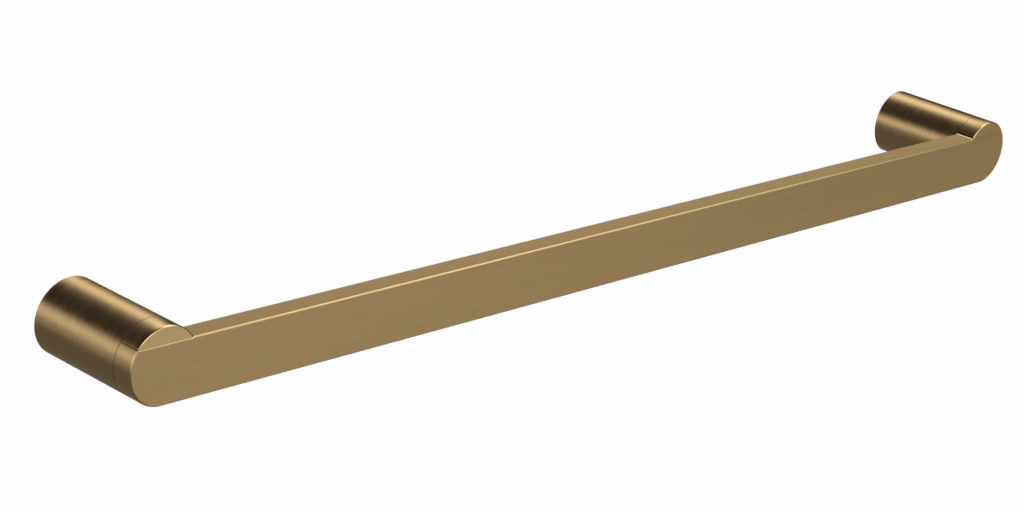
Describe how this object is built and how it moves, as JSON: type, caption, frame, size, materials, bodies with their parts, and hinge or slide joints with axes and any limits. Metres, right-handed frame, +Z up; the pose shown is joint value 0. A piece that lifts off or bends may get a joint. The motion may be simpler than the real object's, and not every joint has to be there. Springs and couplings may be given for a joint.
{
  "type": "towel rail",
  "caption": "Wall-mounted towel rail: a flat bar with rounded ends let into the front of round posts, fixed by hidden brackets, in brushed brass.",
  "frame": {"origin": "on the wall plane, at the centre of the four wall-screw holes: midway between the posts and level with their axes", "axes": "+X along the bar, to the right as seen from the room; +Y into the wall; +Z up"},
  "size_m": [0.6, 0.061, 0.034],
  "materials": {
    "brushed_brass": "satin, brushed along the bar",
    "turned_brass": "satin, brushed round the post",
    "plain_brass": "as turned, not coated",
    "steel": "zinc plated"
  },
  "bodies": {
    "root": {"rail_bar": "brushed_brass", "left_post": "turned_brass", "right_post": "turned_brass", "left_half_moon": "turned_brass", "right_half_moon": "turned_brass", "left_wall_bracket": "plain_brass", "right_wall_bracket": "plain_brass", "left_set_screw": "steel", "right_set_screw": "steel", "left_bar_screw": "steel", "right_bar_screw": "steel", "left_spring_washer": "steel", "right_spring_washer": "steel", "left_bar_dowel": "steel", "right_bar_dowel": "steel", "left_moon_pins": "steel", "right_moon_pins": "steel"}
  },
  "joints": []
}
